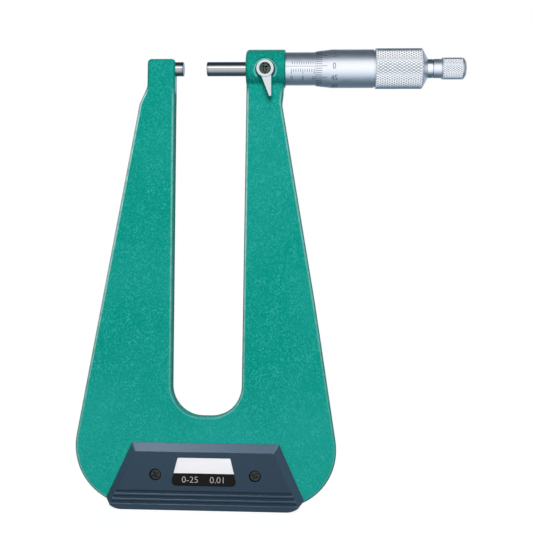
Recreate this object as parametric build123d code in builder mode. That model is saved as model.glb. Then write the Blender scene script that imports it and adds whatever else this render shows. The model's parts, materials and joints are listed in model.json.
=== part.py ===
from build123d import *
import math
import os

# Sheet metal micrometer, 0 to 25 mm, with a 150 mm throat. Millimetres.
# The origin is the centre of the anvil's measuring face. +X runs along the measuring
# axis towards the ratchet, +Z is up, and the side with the label faces -Y.

# Measuring axis
reading = 10.5
spindle_r = 3.175
run_gap = 0.05
tip_len = 1.0
face_chamfer = 0.25
break_edge = 0.3
fine_edge = 0.15

# Frame plate
plate_t = 8.0
edge_r = 1.6
centre_x = 12.4
throat_half = (15.9, 15.35)
throat_taper_z = -20.0
throat_floor_z = -154.1
throat_corner_r = 13.5
outer_half_at_top = 32.45
outer_top_z = -20.0
outer_slope = 0.1742
right_bend_z = -105.0
right_bend_r = 200.0
right_slope = 0.1575
frame_bottom_z = -193.3
frame_corner_r = (26.0, 25.0)
head_left_x = -16.0
head_top_z = 4.1
head_corner_r = 1.8
head_step_z = (-8.6, -15.8)
head_step_r = 6.0
arm_top_z = 3.0
arm_top_r = 2.0
arm_right_x = 44.9
arm_step_z = -8.7

# Spindle boss
boss_r = 8.5
boss_x = (28.1, 45.5)
boss_front_r = 1.6
boss_back_edge = 0.4
boss_fillet_r = 1.8
clamp_ring_x = (33.9, 39.9)
clamp_ring_r = 4.9
clamp_ring_gap = 0.1
clamp_slit = 0.8
press_r = 6.2

# Anvil
anvil_shank_r = 2.5
anvil_shank_len = 7.0

# Sleeves
inner_sleeve_r = 5.6
inner_sleeve_bore_r = 3.9
sleeve_r = 7.28
sleeve_x = (boss_x[1] + run_gap, 76.5)
nut_x = (74.0, 86.0)
thread_r = 3.65
nut_seat_r = 5.5
nut_end_r = 5.15
nut_slots = 3
nut_slot_w = 0.6
nut_seat_x = 77.0
adjusting_nut_x = (78.5, 84.0)
adjusting_nut_r = 6.5
adjusting_notch = (1.2, 1.5, 0.5)
spanner_hole_r = 0.8
spanner_hole_t = 0.9
spanner_hole_x = 49.8

# Thimble, at the rest reading
zero_mark_x = 48.34
thimble_front_x = zero_mark_x + reading
thimble_bevel_x = thimble_front_x + 6.9
thimble_lip_r = 7.58
thimble_bore_r = 7.43
thimble_r = 8.43
thimble_wall_x = 98.5
grip_x = (84.9, 106.1)
grip_r = 8.87
grip_groove = (0.7, 0.4)
grip_end = ((0.1, 0.35), (0.6, 1.2))
thimble_end_x = 108.1
taper_end_x = 106.2
taper_r = (3.45, 3.05)
thread_x = (thimble_front_x - 1.5, thimble_wall_x - 1.0)
thread_lead_in = 0.4
washer_r = 3.8
washer_gap = 0.1

# Ratchet stop
stud_r = 2.0
stud_x = (98.5, 107.0)
neck_r = 4.2
neck_x = (thimble_end_x, 110.45)
hub_r = 3.3
hub_end_x = 113.0
tooth_count = 16
tooth_h = 0.5
tooth_share = 0.8
tooth_gap = 0.15
post_r = 1.8
post_end_x = 121.8
cap_x = (110.65, 125.0)
cap_grip_x = 114.2
cap_r = 4.75
cap_end = ((1.3, 0), (0.75, 0.45), (0.3, 1.25), (0, 1.65))
cap_shoulder = 0.4
cap_bore_r = 3.4
cap_floor_x = 122.3
cap_flat = 2.9
cap_sink_x = 123.6
cap_sink_r = 2.9
click_disc_t = 1.4
spring_wire_r = 0.25
spring_r = 2.45
spring_turns = 4
spring_wire_sides = 6
screw_r = 1.2
screw_tip_x = 117.0
screw_head_r = 2.6
screw_head_t = 1.2
screw_slot = (0.6, 0.6)
screw_clear = 0.5

# Clamp
clamp_x = 36.9
clamp_z = -1.7
spot_face_r = 5.3
spot_face_y = -7.1
clamp_shaft_r = 2.0
lever_hub_r = 3.93
lever_y = (spot_face_y - run_gap, -9.6)
lever_tail_y = (-8.0, -9.45)
lever_len = 12.6
lever_angle = 11.0
lever_root = 2.9
lever_half = (2.35, 0.55)
lever_tip_r = 0.45
lever_sink_r = 2.65
lever_sink_t = 0.9
lever_screw_gap = 0.1

# Covers
pad_t = 5.5
pad_top_z = -165.7
pad_bottom_z = -194.0
pad_half_top = 32.1
pad_shoulder = (43.1, -189.6)
pad_foot_half = 35.6
pad_bevel_w = 3.3
pad_bevel_t = 4.0
pad_corner_r = 1.0
groove_z = (-186.45, -188.65, -190.85)
groove_r = 0.97
groove_t = 0.5
pad_screw_dx = (-21.1, 22.1)
pad_screw_z = -178.9
pad_screw_r = 1.5
pad_screw_head = (2.45, 1.6)
pad_screw_end_y = 0.4
pad_sink_r = 2.6
pad_sink_t = 2.6
label_z = (-171.5, -183.45)
label_half = (11.4, 14.4)
label_t = 0.3
label_corner_r = (0.6, 2.0)

os.makedirs("parts", exist_ok=True)
half_t = plate_t / 2


def turned(profile):
    """A closed (x, radius) profile, turned about the measuring axis."""
    with BuildPart() as piece:
        with BuildSketch(Plane.XZ):
            Polygon(*profile, align=None)
        revolve(axis=Axis.X)
    return piece.part


def rod(x_span, radius):
    """A plain round bar on the measuring axis."""
    return turned([(x_span[0], 0), (x_span[1], 0), (x_span[1], radius), (x_span[0], radius)])


def tube(x_span, outer, bore):
    """A plain round tube on the measuring axis."""
    return turned([(x_span[0], bore), (x_span[1], bore), (x_span[1], outer), (x_span[0], outer)])


def disc_along_y(x, z, y_span, radius):
    """A round bar across the frame, from one Y to another."""
    low, high = sorted(y_span)
    with BuildPart() as piece:
        with BuildSketch(Plane.XZ.offset(-high)):
            with Locations((x, z)):
                Circle(radius)
        extrude(amount=high - low)
    return piece.part


def save(piece, name):
    piece.part.label = name
    export_step(piece.part, f"parts/{name}.step")


def outer_half(z):
    """Half the frame's width over the straight flanks."""
    return outer_half_at_top + outer_slope * (outer_top_z - z)


# Frame: a rounded plate with the boss across its right arm
throat_left = centre_x - throat_half[0]
throat_right = centre_x + throat_half[0]
foot_left = centre_x - outer_half(frame_bottom_z)
bend_right = centre_x + outer_half(right_bend_z)
foot_right = bend_right + right_slope * (right_bend_z - frame_bottom_z)
outline = [
    ((head_left_x, head_top_z), head_corner_r),
    ((throat_left, head_top_z), head_corner_r),
    ((throat_left, throat_taper_z), 0),
    ((centre_x - throat_half[1], throat_floor_z), throat_corner_r),
    ((centre_x + throat_half[1], throat_floor_z), throat_corner_r),
    ((throat_right, throat_taper_z), 0),
    ((throat_right, arm_top_z), arm_top_r),
    ((arm_right_x, arm_top_z), arm_top_r),
    ((arm_right_x, arm_step_z), head_step_r),
    ((centre_x + outer_half(head_step_z[1]), head_step_z[1]), head_step_r),
    ((bend_right, right_bend_z), right_bend_r),
    ((foot_right, frame_bottom_z), frame_corner_r[1]),
    ((foot_left, frame_bottom_z), frame_corner_r[0]),
    ((centre_x - outer_half(head_step_z[1]), head_step_z[1]), head_step_r),
    ((head_left_x, head_step_z[0]), head_step_r),
]

with BuildPart() as frame:
    with BuildSketch(Plane.XZ.offset(-half_t)):
        with BuildLine():
            FilletPolyline(
                *[point for point, _ in outline],
                radius=[radius for _, radius in outline],
                close=True,
            )
        make_face()
    extrude(amount=plate_t)
    fillet(frame.faces().filter_by(Axis.Y).edges(), edge_r)
    with BuildSketch(Plane.XZ):
        with BuildLine():
            FilletPolyline(
                (boss_x[0], 0),
                (boss_x[0], boss_r),
                (boss_x[1] - boss_back_edge, boss_r),
                (boss_x[1], boss_r - boss_back_edge),
                (boss_x[1], 0),
                radius=[boss_front_r, 0, 0],
            )
            Line((boss_x[1], 0), (boss_x[0], 0))
        make_face()
    revolve(axis=Axis.X)
    blend_edges = (
        frame.edges()
        .filter_by(Axis.X)
        .filter_by(lambda edge: abs(abs(edge.center().Y) - half_t) < run_gap)
        .filter_by(lambda edge: edge.length > boss_r and edge.center().X > boss_x[0])
    )
    fillet(blend_edges, boss_fillet_r)
    # Bores: spindle guide, clamp ring, inner sleeve, anvil shank
    add(rod((boss_x[0], clamp_ring_x[0]), spindle_r + run_gap), mode=Mode.SUBTRACT)
    add(rod(clamp_ring_x, clamp_ring_r + run_gap), mode=Mode.SUBTRACT)
    add(rod((clamp_ring_x[1], boss_x[1]), press_r), mode=Mode.SUBTRACT)
    add(rod((throat_left - anvil_shank_len, throat_left), anvil_shank_r), mode=Mode.SUBTRACT)
    # Spot face and hole for the clamp
    add(disc_along_y(clamp_x, clamp_z, (spot_face_y, -2 * boss_r), spot_face_r), mode=Mode.SUBTRACT)
    add(disc_along_y(clamp_x, clamp_z, (0, spot_face_y), clamp_shaft_r + run_gap), mode=Mode.SUBTRACT)
    # Tapped holes for the cover screws
    for dx in pad_screw_dx:
        hole = disc_along_y(centre_x + dx, pad_screw_z, (-half_t, half_t), pad_screw_r)
        add(hole, mode=Mode.SUBTRACT)
save(frame, "frame")

# Anvil: ground pin with a smaller shank in the head
with BuildPart() as anvil:
    add(
        turned(
            [
                (throat_left - anvil_shank_len, 0),
                (-tip_len, 0),
                (-tip_len, spindle_r),
                (throat_left, spindle_r),
                (throat_left, anvil_shank_r),
                (throat_left - anvil_shank_len, anvil_shank_r),
            ]
        )
    )
save(anvil, "anvil")

with BuildPart() as anvil_tip:
    add(
        turned(
            [
                (-tip_len, 0),
                (0, 0),
                (0, spindle_r - face_chamfer),
                (-face_chamfer, spindle_r),
                (-tip_len, spindle_r),
            ]
        )
    )
save(anvil_tip, "anvil_tip")

# Inner sleeve: pressed into the boss, its far end slotted and tapered as the nut
with BuildPart() as inner_sleeve:
    add(
        turned(
            [
                (clamp_ring_x[1], inner_sleeve_bore_r),
                (nut_x[0], inner_sleeve_bore_r),
                (nut_x[0], thread_r + run_gap),
                (nut_x[1], thread_r + run_gap),
                (nut_x[1], nut_end_r),
                (nut_seat_x, nut_seat_r),
                (nut_seat_x, inner_sleeve_r),
                (boss_x[1], inner_sleeve_r),
                (boss_x[1], press_r),
                (clamp_ring_x[1], press_r),
            ]
        )
    )
    with BuildSketch(Plane.YZ.offset(nut_x[1])):
        with PolarLocations(inner_sleeve_r, nut_slots):
            Rectangle(inner_sleeve_r, nut_slot_w)
    extrude(amount=sleeve_x[1] - nut_x[1], mode=Mode.SUBTRACT)
save(inner_sleeve, "inner_sleeve")


def taper_radius(x):
    """Outer radius of the slotted nut at x."""
    return nut_seat_r + (nut_end_r - nut_seat_r) * (x - nut_seat_x) / (nut_x[1] - nut_seat_x)


with BuildPart() as adjusting_nut:
    add(
        turned(
            [
                (adjusting_nut_x[0], taper_radius(adjusting_nut_x[0])),
                (adjusting_nut_x[1], taper_radius(adjusting_nut_x[1])),
                (adjusting_nut_x[1], adjusting_nut_r),
                (adjusting_nut_x[0], adjusting_nut_r),
            ]
        )
    )
    # Two spanner notches: wide, long and deep
    with BuildSketch(Plane.YZ.offset(adjusting_nut_x[1])):
        Rectangle(adjusting_notch[0], 4 * adjusting_nut_r)
        Circle(adjusting_nut_r - adjusting_notch[2], mode=Mode.SUBTRACT)
    extrude(amount=-adjusting_notch[1], mode=Mode.SUBTRACT)
save(adjusting_nut, "adjusting_nut")

# Clamp ring: split at the back
with BuildPart() as clamp_ring:
    ring_x = (clamp_ring_x[0] + clamp_ring_gap, clamp_ring_x[1] - clamp_ring_gap)
    add(tube(ring_x, clamp_ring_r, spindle_r + run_gap))
    with BuildSketch(Plane.YZ.offset(ring_x[0])):
        with Locations((clamp_ring_r, 0)):
            Rectangle(clamp_ring_r, clamp_slit)
    extrude(amount=ring_x[1] - ring_x[0], mode=Mode.SUBTRACT)
save(clamp_ring, "clamp_ring")

# Graduated sleeve
with BuildPart() as graduated_sleeve:
    add(
        turned(
            [
                (sleeve_x[0], inner_sleeve_r + run_gap),
                (sleeve_x[1], inner_sleeve_r + run_gap),
                (sleeve_x[1], sleeve_r - break_edge),
                (sleeve_x[1] - break_edge, sleeve_r),
                (sleeve_x[0] + fine_edge, sleeve_r),
                (sleeve_x[0], sleeve_r - fine_edge),
            ]
        )
    )
    hole_y = (sleeve_r - spanner_hole_t, sleeve_r + spanner_hole_t)
    add(disc_along_y(spanner_hole_x, 0, hole_y, spanner_hole_r), mode=Mode.SUBTRACT)
save(graduated_sleeve, "graduated_sleeve")

# Spindle: plain part, screw part, taper seat, and a tapped hole in its end
with BuildPart() as spindle:
    add(
        turned(
            [
                (reading + tip_len, 0),
                (stud_x[0], 0),
                (stud_x[0], stud_r),
                (taper_end_x, stud_r),
                (taper_end_x, taper_r[1]),
                (thimble_wall_x, taper_r[0]),
                (thread_x[1], taper_r[0]),
                (thread_x[1], thread_r),
                (thread_x[0], thread_r),
                (thread_x[0] - thread_lead_in, spindle_r),
                (reading + tip_len, spindle_r),
            ]
        )
    )
save(spindle, "spindle")

with BuildPart() as spindle_tip:
    add(
        turned(
            [
                (reading, 0),
                (reading + tip_len, 0),
                (reading + tip_len, spindle_r),
                (reading + face_chamfer, spindle_r),
                (reading, spindle_r - face_chamfer),
            ]
        )
    )
save(spindle_tip, "spindle_tip")

# Thimble: lip, bevel, smooth barrel, grip, and the end wall on the spindle's taper
with BuildPart() as thimble:
    add(
        turned(
            [
                (thimble_front_x, thimble_bore_r),
                (thimble_wall_x, thimble_bore_r),
                (thimble_wall_x, taper_r[0]),
                (taper_end_x, taper_r[1]),
                (taper_end_x, washer_r + washer_gap),
                (thimble_end_x, washer_r + washer_gap),
                (thimble_end_x, neck_r + break_edge),
                (grip_x[1] + grip_end[1][0], grip_r - grip_end[1][1]),
                (grip_x[1] + grip_end[0][0], grip_r - grip_end[0][1]),
                (grip_x[1] - break_edge, grip_r),
                (grip_x[0] + break_edge, grip_r),
                (grip_x[0], grip_r - break_edge),
                (grip_x[0], thimble_r - grip_groove[1]),
                (grip_x[0] - grip_groove[0], thimble_r - grip_groove[1]),
                (grip_x[0] - grip_groove[0], thimble_r),
                (thimble_bevel_x, thimble_r),
                (thimble_front_x, thimble_lip_r),
            ]
        )
    )
save(thimble, "thimble")

with BuildPart() as thimble_washer:
    add(tube((taper_end_x + run_gap, stud_x[1] - run_gap), washer_r, stud_r + run_gap))
save(thimble_washer, "thimble_washer")


def toothed_face(x, inward):
    """Saw-tooth notches, to cut from a disc's face at x; inward is the cut's X direction."""
    notch_w = 2 * math.pi * hub_r / tooth_count * tooth_share
    with BuildPart() as notches:
        for tooth in range(tooth_count):
            angle = 2 * math.pi * tooth / tooth_count
            radial = (0, math.cos(angle), math.sin(angle))
            with BuildSketch(Plane(origin=(x, 0, 0), x_dir=(1, 0, 0), z_dir=radial)):
                Polygon(
                    (0, -notch_w / 2),
                    (inward * tooth_h, -notch_w / 2),
                    (0, notch_w / 2),
                    align=None,
                )
            extrude(amount=cap_bore_r + run_gap)
    return notches.part


# Ratchet body: stud, neck, hub with face teeth, and the post for the cap
with BuildPart() as ratchet_body:
    add(
        turned(
            [
                (stud_x[0], 0),
                (hub_end_x, 0),
                (hub_end_x, hub_r),
                (neck_x[1], hub_r),
                (neck_x[1], neck_r - fine_edge),
                (neck_x[1] - fine_edge, neck_r),
                (neck_x[0], neck_r),
                (neck_x[0], washer_r - washer_gap),
                (stud_x[1], washer_r - washer_gap),
                (stud_x[1], stud_r),
                (stud_x[0], stud_r),
            ]
        )
    )
    add(toothed_face(hub_end_x, -1), mode=Mode.SUBTRACT)
    add(rod((neck_x[1], post_end_x), post_r))
    add(rod((screw_tip_x - screw_clear, post_end_x), screw_r), mode=Mode.SUBTRACT)
save(ratchet_body, "ratchet_body")

# Ratchet cap: smooth neck, grip, and a bore with two flats that key the click disc
with BuildPart() as ratchet_cap:
    add(
        turned(
            [
                (cap_x[0], 0),
                (cap_x[1], 0),
                *[(cap_x[1] - back, cap_r - drop) for back, drop in reversed(cap_end)],
                (cap_grip_x + cap_shoulder, cap_r),
                (cap_grip_x, neck_r),
                (cap_x[0] + fine_edge, neck_r),
                (cap_x[0], neck_r - fine_edge),
            ]
        )
    )
    with BuildSketch(Plane.YZ.offset(cap_floor_x)):
        Circle(cap_bore_r)
        Rectangle(2 * cap_bore_r, 2 * cap_flat, mode=Mode.INTERSECT)
    extrude(amount=hub_end_x + run_gap - cap_floor_x, mode=Mode.SUBTRACT)
    add(rod((cap_x[0], hub_end_x + run_gap), hub_r + run_gap), mode=Mode.SUBTRACT)
    add(rod((cap_floor_x, cap_sink_x), screw_r + run_gap), mode=Mode.SUBTRACT)
    add(rod((cap_sink_x, cap_x[1]), cap_sink_r), mode=Mode.SUBTRACT)
save(ratchet_cap, "ratchet_cap")

# Click disc: keyed in the cap, its teeth held just clear of the body's
disc_face_x = hub_end_x + tooth_gap
with BuildPart() as click_disc:
    with BuildSketch(Plane.YZ.offset(disc_face_x)):
        Circle(cap_bore_r - run_gap)
        Rectangle(2 * cap_bore_r, 2 * (cap_flat - run_gap), mode=Mode.INTERSECT)
        Circle(post_r + run_gap, mode=Mode.SUBTRACT)
    extrude(amount=click_disc_t)
    add(toothed_face(disc_face_x, 1), mode=Mode.SUBTRACT)
save(click_disc, "click_disc")

# Ratchet spring between the click disc and the cap's floor, its wire six-sided
spring_x = (disc_face_x + click_disc_t + spring_wire_r, cap_floor_x - spring_wire_r)
with BuildPart() as ratchet_spring:
    with BuildLine() as spring_path:
        Helix(
            pitch=(spring_x[1] - spring_x[0]) / spring_turns,
            height=spring_x[1] - spring_x[0],
            radius=spring_r,
            center=(spring_x[0], 0, 0),
            direction=(1, 0, 0),
        )
    with BuildSketch(Plane(origin=spring_path.line @ 0, z_dir=spring_path.line % 0)):
        RegularPolygon(spring_wire_r, spring_wire_sides)
    sweep(path=spring_path.line, is_frenet=True)
save(ratchet_spring, "ratchet_spring")

# Ratchet screw: holds the cap on the post
head_x = cap_sink_x + run_gap
with BuildPart() as ratchet_screw:
    add(
        turned(
            [
                (screw_tip_x, 0),
                (head_x + screw_head_t, 0),
                (head_x + screw_head_t, screw_head_r - break_edge),
                (head_x + screw_head_t - break_edge, screw_head_r),
                (head_x, screw_head_r),
                (head_x, screw_r),
                (screw_tip_x, screw_r),
            ]
        )
    )
    # Driver slot: wide and deep
    with BuildSketch(Plane.YZ.offset(head_x + screw_head_t)):
        Rectangle(3 * screw_head_r, screw_slot[0])
    extrude(amount=-screw_slot[1], mode=Mode.SUBTRACT)
save(ratchet_screw, "ratchet_screw")

# Clamp lever: round hub and tapered tail, drawn pointing straight down and then turned
tail_dir = math.radians(lever_angle)


def along_tail(distance, sideways):
    """A point on the lever, from its pivot along the tail and across it."""
    return (
        clamp_x + distance * math.sin(tail_dir) + sideways * math.cos(tail_dir),
        clamp_z - distance * math.cos(tail_dir) + sideways * math.sin(tail_dir),
    )


lever_sink_y = lever_y[1] + lever_sink_t
with BuildPart() as lever_hub:
    add(disc_along_y(clamp_x, clamp_z, lever_y, lever_hub_r))
    chamfer(lever_hub.faces().sort_by(Axis.Y)[0].edges(), fine_edge)

with BuildPart() as clamp_lever:
    with BuildSketch(Plane.XZ.offset(-lever_tail_y[0])):
        with BuildLine():
            FilletPolyline(
                along_tail(lever_root, -lever_half[0]),
                along_tail(lever_len, -lever_half[1]),
                along_tail(lever_len, lever_half[1]),
                along_tail(lever_root, lever_half[0]),
                radius=[0, lever_tip_r, lever_tip_r, 0],
                close=True,
            )
        make_face()
    extrude(amount=lever_tail_y[0] - lever_tail_y[1])
    fillet(clamp_lever.faces().sort_by(Axis.Y)[0].edges(), break_edge)
    add(lever_hub.part)
    add(disc_along_y(clamp_x, clamp_z, (lever_sink_y, lever_y[1]), lever_sink_r), mode=Mode.SUBTRACT)
    add(disc_along_y(clamp_x, clamp_z, lever_y, screw_r), mode=Mode.SUBTRACT)
save(clamp_lever, "clamp_lever")

# Clamp shaft: plug that presses on the ring, drilled for the lever's screw
shaft_end_y = -clamp_ring_r - clamp_ring_gap
with BuildPart() as clamp_shaft:
    add(disc_along_y(clamp_x, clamp_z, (shaft_end_y, lever_y[0]), clamp_shaft_r))
    add(disc_along_y(clamp_x, clamp_z, (shaft_end_y - screw_clear, lever_y[0]), screw_r), mode=Mode.SUBTRACT)
save(clamp_shaft, "clamp_shaft")

with BuildPart() as lever_screw:
    head_y = (lever_sink_y, lever_y[1] + lever_screw_gap)
    add(disc_along_y(clamp_x, clamp_z, head_y, lever_sink_r - lever_screw_gap))
    chamfer(lever_screw.faces().sort_by(Axis.Y)[0].edges(), break_edge)
    add(disc_along_y(clamp_x, clamp_z, (shaft_end_y - screw_clear - run_gap, lever_sink_y), screw_r))
save(lever_screw, "lever_screw")


def cover_outline(inset):
    """Straight top and flanks, moved in by the inset, and a foot rounded at both ends."""
    flank_slope = (pad_shoulder[0] - pad_half_top) / (pad_top_z - pad_shoulder[1])
    top_half = pad_half_top + flank_slope * inset - inset * math.hypot(1, flank_slope)
    low_half = top_half + flank_slope * (pad_top_z - inset - pad_bottom_z)
    with BuildSketch() as outline_sketch:
        with BuildLine():
            Polyline(
                (centre_x - pad_shoulder[0], pad_shoulder[1]),
                (centre_x - pad_half_top, pad_top_z),
                (centre_x + pad_half_top, pad_top_z),
                (centre_x + pad_shoulder[0], pad_shoulder[1]),
            )
            Line((centre_x - pad_foot_half, pad_bottom_z), (centre_x + pad_foot_half, pad_bottom_z))
            for end in (-1, 1):
                TangentArc(
                    (centre_x + end * pad_foot_half, pad_bottom_z),
                    (centre_x + end * pad_shoulder[0], pad_shoulder[1]),
                    tangent=(end, 0),
                )
        make_face()
        if inset:
            Polygon(
                (centre_x - low_half, pad_bottom_z),
                (centre_x - top_half, pad_top_z - inset),
                (centre_x + top_half, pad_top_z - inset),
                (centre_x + low_half, pad_bottom_z),
                align=None,
                mode=Mode.INTERSECT,
            )
    return outline_sketch.sketch


def cover(side):
    """One cover with its bevel, grooves and screw holes; side is -1 in front, 1 behind."""
    rim_y = side * (half_t + pad_t - pad_bevel_t)
    face_y = side * (half_t + pad_t)
    with BuildPart() as piece:
        with BuildSketch(Plane.XZ.offset(-rim_y)):
            add(cover_outline(0))
        with BuildSketch(Plane.XZ.offset(-face_y)):
            add(cover_outline(pad_bevel_w))
        loft(ruled=True)
        with BuildSketch(Plane.XZ.offset(-rim_y)):
            add(cover_outline(0))
        extrude(amount=side * (pad_t - pad_bevel_t))
        top_corners = piece.edges().filter_by(
            lambda edge: edge.center().Z > pad_top_z - pad_bevel_w and edge.length < 2 * pad_t
        )
        fillet(top_corners, pad_corner_r)
        for z in groove_z:
            with BuildSketch(Plane.YZ.offset(centre_x)):
                with Locations((face_y + side * (groove_r - groove_t), z)):
                    Circle(groove_r)
            extrude(amount=pad_shoulder[0], both=True, mode=Mode.SUBTRACT)
        for dx in pad_screw_dx:
            hole_x = centre_x + dx
            seat_y = face_y - side * pad_sink_t
            add(disc_along_y(hole_x, pad_screw_z, (seat_y, face_y), pad_sink_r), mode=Mode.SUBTRACT)
            add(disc_along_y(hole_x, pad_screw_z, (side * half_t, seat_y), pad_screw_r), mode=Mode.SUBTRACT)
    return piece.part


def cover_screws(side):
    """Both screws of one cover."""
    seat_y = side * (half_t + pad_t - pad_sink_t)
    with BuildPart() as piece:
        for dx in pad_screw_dx:
            hole_x = centre_x + dx
            head_y = (seat_y, seat_y + side * pad_screw_head[1])
            add(disc_along_y(hole_x, pad_screw_z, head_y, pad_screw_head[0]))
            add(disc_along_y(hole_x, pad_screw_z, (side * pad_screw_end_y, seat_y), pad_screw_r))
    return piece.part


# Label outline, for the plate and for its pocket in the front cover
face_plane = Plane.XZ.offset(half_t + pad_t)
with BuildSketch() as label_outline:
    with BuildLine():
        FilletPolyline(
            (centre_x - label_half[0], label_z[0]),
            (centre_x + label_half[0], label_z[0]),
            (centre_x + label_half[1], label_z[1]),
            (centre_x - label_half[1], label_z[1]),
            radius=[label_corner_r[0], label_corner_r[0], label_corner_r[1], label_corner_r[1]],
            close=True,
        )
    make_face()

with BuildPart() as front_pad:
    add(cover(-1))
    with BuildSketch(face_plane):
        add(label_outline.sketch)
        offset(amount=run_gap)
    extrude(amount=-label_t, mode=Mode.SUBTRACT)
save(front_pad, "front_pad")

with BuildPart() as back_pad:
    add(cover(1))
save(back_pad, "back_pad")

with BuildPart() as front_pad_screws:
    add(cover_screws(-1))
save(front_pad_screws, "front_pad_screws")

with BuildPart() as back_pad_screws:
    add(cover_screws(1))
save(back_pad_screws, "back_pad_screws")

# Label plate, flush in its pocket
with BuildPart() as label_plate:
    with BuildSketch(face_plane):
        add(label_outline.sketch)
    extrude(amount=-label_t)
save(label_plate, "label_plate")
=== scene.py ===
import json
import math

import bmesh
import bpy
from mathutils import Matrix, Vector


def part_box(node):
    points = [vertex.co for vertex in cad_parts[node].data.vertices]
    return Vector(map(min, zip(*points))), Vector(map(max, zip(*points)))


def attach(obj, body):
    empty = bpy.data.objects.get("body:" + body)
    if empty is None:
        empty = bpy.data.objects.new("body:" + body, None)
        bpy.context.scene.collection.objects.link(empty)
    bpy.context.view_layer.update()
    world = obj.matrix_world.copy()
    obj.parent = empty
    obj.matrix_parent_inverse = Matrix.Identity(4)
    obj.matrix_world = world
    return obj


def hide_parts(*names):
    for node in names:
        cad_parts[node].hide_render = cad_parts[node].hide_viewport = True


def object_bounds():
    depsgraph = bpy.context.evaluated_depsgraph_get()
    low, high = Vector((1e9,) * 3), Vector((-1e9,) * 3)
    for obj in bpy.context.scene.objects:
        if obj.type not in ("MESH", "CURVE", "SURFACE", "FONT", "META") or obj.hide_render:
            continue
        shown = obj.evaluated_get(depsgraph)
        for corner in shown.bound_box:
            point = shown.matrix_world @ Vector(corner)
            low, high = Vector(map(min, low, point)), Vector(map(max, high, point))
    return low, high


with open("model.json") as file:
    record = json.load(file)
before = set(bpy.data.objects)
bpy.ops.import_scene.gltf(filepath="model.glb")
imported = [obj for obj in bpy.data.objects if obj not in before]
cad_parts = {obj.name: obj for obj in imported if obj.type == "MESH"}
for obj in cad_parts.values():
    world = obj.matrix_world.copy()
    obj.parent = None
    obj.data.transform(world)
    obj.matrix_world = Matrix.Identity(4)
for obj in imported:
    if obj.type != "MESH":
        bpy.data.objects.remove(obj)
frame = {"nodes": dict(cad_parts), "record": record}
cad_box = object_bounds()
nodes = frame["nodes"]

# Metres everywhere, so a length in millimetres is written as a number times MM
MM = 0.001

# Photograph's camera
CAMERA_PLACE = Vector((66.62, -477.58, -110.43)) * MM
CAMERA_TURN = (3.4357, 92.6712, 0.6272)
CAMERA_FOCAL_PX = 1083.88
CAMERA_CLIP_START = 0.01
PHOTO_PX = 533
SENSOR = 36.0

# Main stations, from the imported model
thimble_low, thimble_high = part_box("thimble")
sleeve_low, sleeve_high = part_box("graduated_sleeve")
cap_low, cap_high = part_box("ratchet_cap")
label_low, label_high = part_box("label_plate")
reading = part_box("spindle_tip")[0].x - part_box("anvil_tip")[1].x
zero_mark_x = thimble_low.x - reading
clamp_centre = (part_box("lever_screw")[0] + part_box("lever_screw")[1]) / 2

# The datum line lies a little below the front of the sleeve
DATUM_ANGLE = math.radians(-3.6)


def at(x, radius, angle):
    """A point round the measuring axis; the angle is 0 in front and grows upwards."""
    return Vector((x, -radius * math.cos(angle), radius * math.sin(angle)))


# Materials. The grain is turned out of line with the object's flat faces
GRAIN_TURN = (0.6, 0.9, 0.4)
# Most of a noise's values lie between these two
NOISE_SPAN = (0.3, 0.7)


def add_node(tree, kind, inputs=None, **settings):
    """A shader node. An input is linked where its value is another node's output."""
    node = tree.nodes.new(kind)
    for key, value in settings.items():
        setattr(node, key, value)
    for key, value in (inputs or {}).items():
        if isinstance(value, bpy.types.NodeSocket):
            tree.links.new(value, node.inputs[key])
        else:
            node.inputs[key].default_value = value
    return node


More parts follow.
